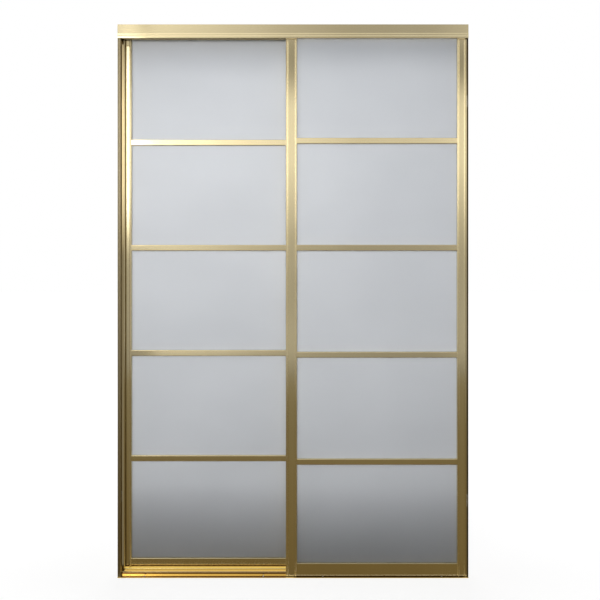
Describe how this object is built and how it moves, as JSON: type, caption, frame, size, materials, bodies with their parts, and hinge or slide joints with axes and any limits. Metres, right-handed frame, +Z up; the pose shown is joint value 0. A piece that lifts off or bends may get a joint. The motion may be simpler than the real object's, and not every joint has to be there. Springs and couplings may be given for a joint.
{
  "type": "pair of sliding wardrobe doors",
  "caption": "Bypass sliding wardrobe doors of frosted glass lites in gold aluminium frames, rolling on a ribbed bottom track under a reeded header, with jambs.",
  "frame": {"origin": "on the floor, under the middle of the bottom track", "axes": "+X along the tracks to the right as seen from the room, +Y into the wardrobe, +Z up"},
  "size_m": [1.524, 0.076, 2.404],
  "materials": {
    "gold_anodised": "bright gold anodised",
    "frosted_glass": "satin frosted",
    "glazing_vinyl": "soft grey vinyl",
    "nylon": "moulded nylon",
    "zinc_steel": "zinc plated"
  },
  "bodies": {
    "frame": {"header_track": "gold_anodised", "bottom_track": "gold_anodised", "left_jamb": "gold_anodised", "right_jamb": "gold_anodised", "jamb_bumpers": "glazing_vinyl", "frame_corner_screws": "zinc_steel"},
    "left_door": {"left_door_left_stile": "gold_anodised", "left_door_right_stile": "gold_anodised", "left_door_bottom_rail": "gold_anodised", "left_door_top_rail": "gold_anodised", "left_door_bar_1": "gold_anodised", "left_door_bar_2": "gold_anodised", "left_door_bar_3": "gold_anodised", "left_door_bar_4": "gold_anodised", "left_door_pane_1": "frosted_glass", "left_door_pane_2": "frosted_glass", "left_door_pane_3": "frosted_glass", "left_door_pane_4": "frosted_glass", "left_door_pane_5": "frosted_glass", "left_door_gaskets": "glazing_vinyl", "left_door_screws": "zinc_steel", "left_door_left_roller_housing": "zinc_steel", "left_door_left_roller_axle": "zinc_steel", "left_door_left_roller_adjuster": "zinc_steel", "left_door_left_guide": "nylon", "left_door_right_roller_housing": "zinc_steel", "left_door_right_roller_axle": "zinc_steel", "left_door_right_roller_adjuster": "zinc_steel", "left_door_right_guide": "nylon"},
    "left_door_left_wheel": {"left_door_left_roller_wheel": "nylon", "left_door_left_roller_bearing": "zinc_steel"},
    "left_door_right_wheel": {"left_door_right_roller_wheel": "nylon", "left_door_right_roller_bearing": "zinc_steel"},
    "right_door": {"right_door_left_stile": "gold_anodised", "right_door_right_stile": "gold_anodised", "right_door_bottom_rail": "gold_anodised", "right_door_top_rail": "gold_anodised", "right_door_bar_1": "gold_anodised", "right_door_bar_2": "gold_anodised", "right_door_bar_3": "gold_anodised", "right_door_bar_4": "gold_anodised", "right_door_pane_1": "frosted_glass", "right_door_pane_2": "frosted_glass", "right_door_pane_3": "frosted_glass", "right_door_pane_4": "frosted_glass", "right_door_pane_5": "frosted_glass", "right_door_gaskets": "glazing_vinyl", "right_door_screws": "zinc_steel", "right_door_left_roller_housing": "zinc_steel", "right_door_left_roller_axle": "zinc_steel", "right_door_left_roller_adjuster": "zinc_steel", "right_door_left_guide": "nylon", "right_door_right_roller_housing": "zinc_steel", "right_door_right_roller_axle": "zinc_steel", "right_door_right_roller_adjuster": "zinc_steel", "right_door_right_guide": "nylon"},
    "right_door_left_wheel": {"right_door_left_roller_wheel": "nylon", "right_door_left_roller_bearing": "zinc_steel"},
    "right_door_right_wheel": {"right_door_right_roller_wheel": "nylon", "right_door_right_roller_bearing": "zinc_steel"}
  },
  "joints": [
    {"name": "left_door_slide", "type": "slide", "parent": "frame", "child": "left_door", "axis": [1, 0, 0], "range_m": [0, 0.7185]},
    {"name": "left_door_left_wheel_spin", "type": "hinge", "parent": "left_door", "child": "left_door_left_wheel", "pos_m": [-0.6651, 0.018, 0.026], "axis": [0, 1, 0], "continuous": true},
    {"name": "left_door_right_wheel_spin", "type": "hinge", "parent": "left_door", "child": "left_door_right_wheel", "pos_m": [-0.0611, 0.018, 0.026], "axis": [0, 1, 0], "continuous": true},
    {"name": "right_door_slide", "type": "slide", "parent": "frame", "child": "right_door", "axis": [-1, 0, 0], "range_m": [0, 0.7185]},
    {"name": "right_door_left_wheel_spin", "type": "hinge", "parent": "right_door", "child": "right_door_left_wheel", "pos_m": [0.0611, -0.018, 0.026], "axis": [0, 1, 0], "continuous": true},
    {"name": "right_door_right_wheel_spin", "type": "hinge", "parent": "right_door", "child": "right_door_right_wheel", "pos_m": [0.6651, -0.018, 0.026], "axis": [0, 1, 0], "continuous": true}
  ],
  "couplings": [
    {"joint": "left_door_left_wheel_spin", "follows": "left_door_slide", "rad_per_m": 100},
    {"joint": "left_door_right_wheel_spin", "follows": "left_door_slide", "rad_per_m": 100},
    {"joint": "right_door_left_wheel_spin", "follows": "right_door_slide", "rad_per_m": -100},
    {"joint": "right_door_right_wheel_spin", "follows": "right_door_slide", "rad_per_m": -100}
  ]
}
